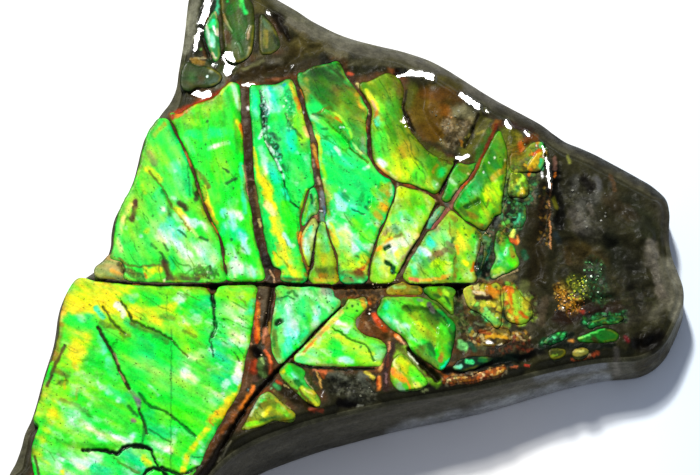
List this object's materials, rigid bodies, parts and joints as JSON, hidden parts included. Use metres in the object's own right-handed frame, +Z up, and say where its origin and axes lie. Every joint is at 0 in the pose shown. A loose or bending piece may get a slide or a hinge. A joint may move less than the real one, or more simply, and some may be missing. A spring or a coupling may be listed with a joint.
{
  "type": "ammolite specimen",
  "caption": "Ground slab of dark shale with a crust of broken, iridescent green fossil nacre, lying flat.",
  "frame": {"origin": "under the middle of the specimen's box, on the surface that it lies on", "axes": "+Z up, +X along the longest side towards the bare rock end, +Y towards the crest at the back"},
  "size_m": [0.0866, 0.0792, 0.0146],
  "materials": {
    "shale": "satin",
    "nacre": "polished"
  },
  "bodies": {
    "root": {"matrix": "shale", "left_shoulder_plate": "nacre", "left_corner_flake": "nacre", "left_panel_plate": "nacre", "tall_panel_plate": "nacre", "fork_sliver_plate": "nacre", "fork_wedge_plate": "nacre", "olive_wedge_plate": "nacre", "centre_panel_plate": "nacre", "olive_panel_plate": "nacre", "centre_right_plate": "nacre", "slanted_sliver_plate": "nacre", "cyan_wedge_plate": "nacre", "right_panel_plate": "nacre", "lower_right_plate": "nacre", "bright_flake": "nacre", "teal_shard": "nacre", "teal_flake": "nacre", "yellow_flake": "nacre", "gold_ridge_flake": "nacre", "big_lower_left_plate": "nacre", "lower_middle_plate": "nacre", "lower_centre_plate": "nacre", "arrow_flake": "nacre", "corner_triangle_flake": "nacre", "folded_plate": "nacre", "amber_strip_flake": "nacre", "green_corner_flake": "nacre", "orange_edge_flake": "nacre", "mosaic_left_flake": "nacre", "mosaic_right_flake": "nacre", "mosaic_lower_flake": "nacre", "gold_edge_strip": "nacre", "teal_edge_strip": "nacre", "green_edge_flake_left": "nacre", "olive_edge_flake": "nacre", "green_edge_flake_upper": "nacre", "green_edge_flake_lower": "nacre", "yellow_edge_flake": "nacre", "crest_teal_plate": "nacre", "crest_olive_plate": "nacre", "crest_right_plate": "nacre", "crest_foot_knob": "nacre"}
  },
  "joints": []
}
